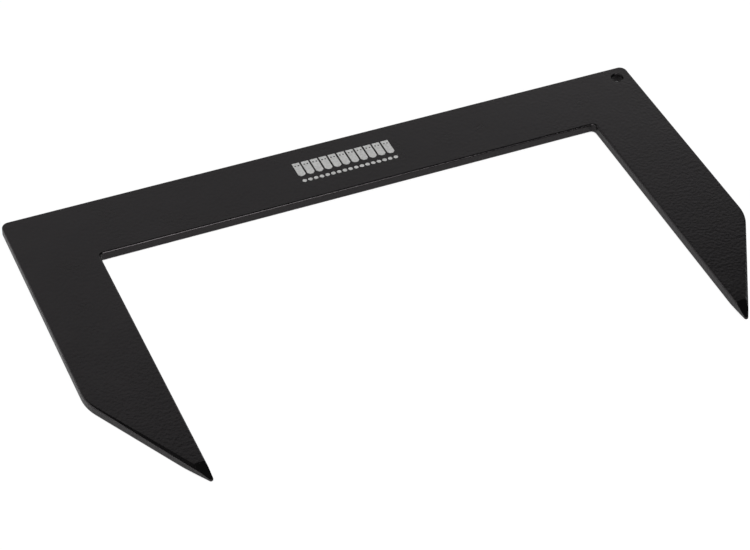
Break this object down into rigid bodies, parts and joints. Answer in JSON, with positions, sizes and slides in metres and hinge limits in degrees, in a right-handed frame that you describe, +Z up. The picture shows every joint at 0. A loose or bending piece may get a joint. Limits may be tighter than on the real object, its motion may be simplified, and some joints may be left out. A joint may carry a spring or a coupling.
{
  "type": "slater's bench iron",
  "caption": "Flat U-shaped steel bench iron in black powder coat, with driving points on both legs, a straight dressing edge and a hanging hole.",
  "frame": {"origin": "middle of the underside of the box that holds the iron as it lies flat", "axes": "+X along the spine towards the end with the hanging hole, +Y from the points of the legs to the straight back edge, +Z up through the thickness"},
  "size_m": [0.43, 0.2354, 0.0066],
  "materials": {
    "black_powder_coat": "satin powder coat with a fine orange-peel texture",
    "pale_ink": "matt pad-printed ink"
  },
  "bodies": {
    "root": {"bench_iron_plate": "black_powder_coat", "printed_slate_course": "pale_ink", "printed_dash_row": "pale_ink"}
  },
  "joints": []
}
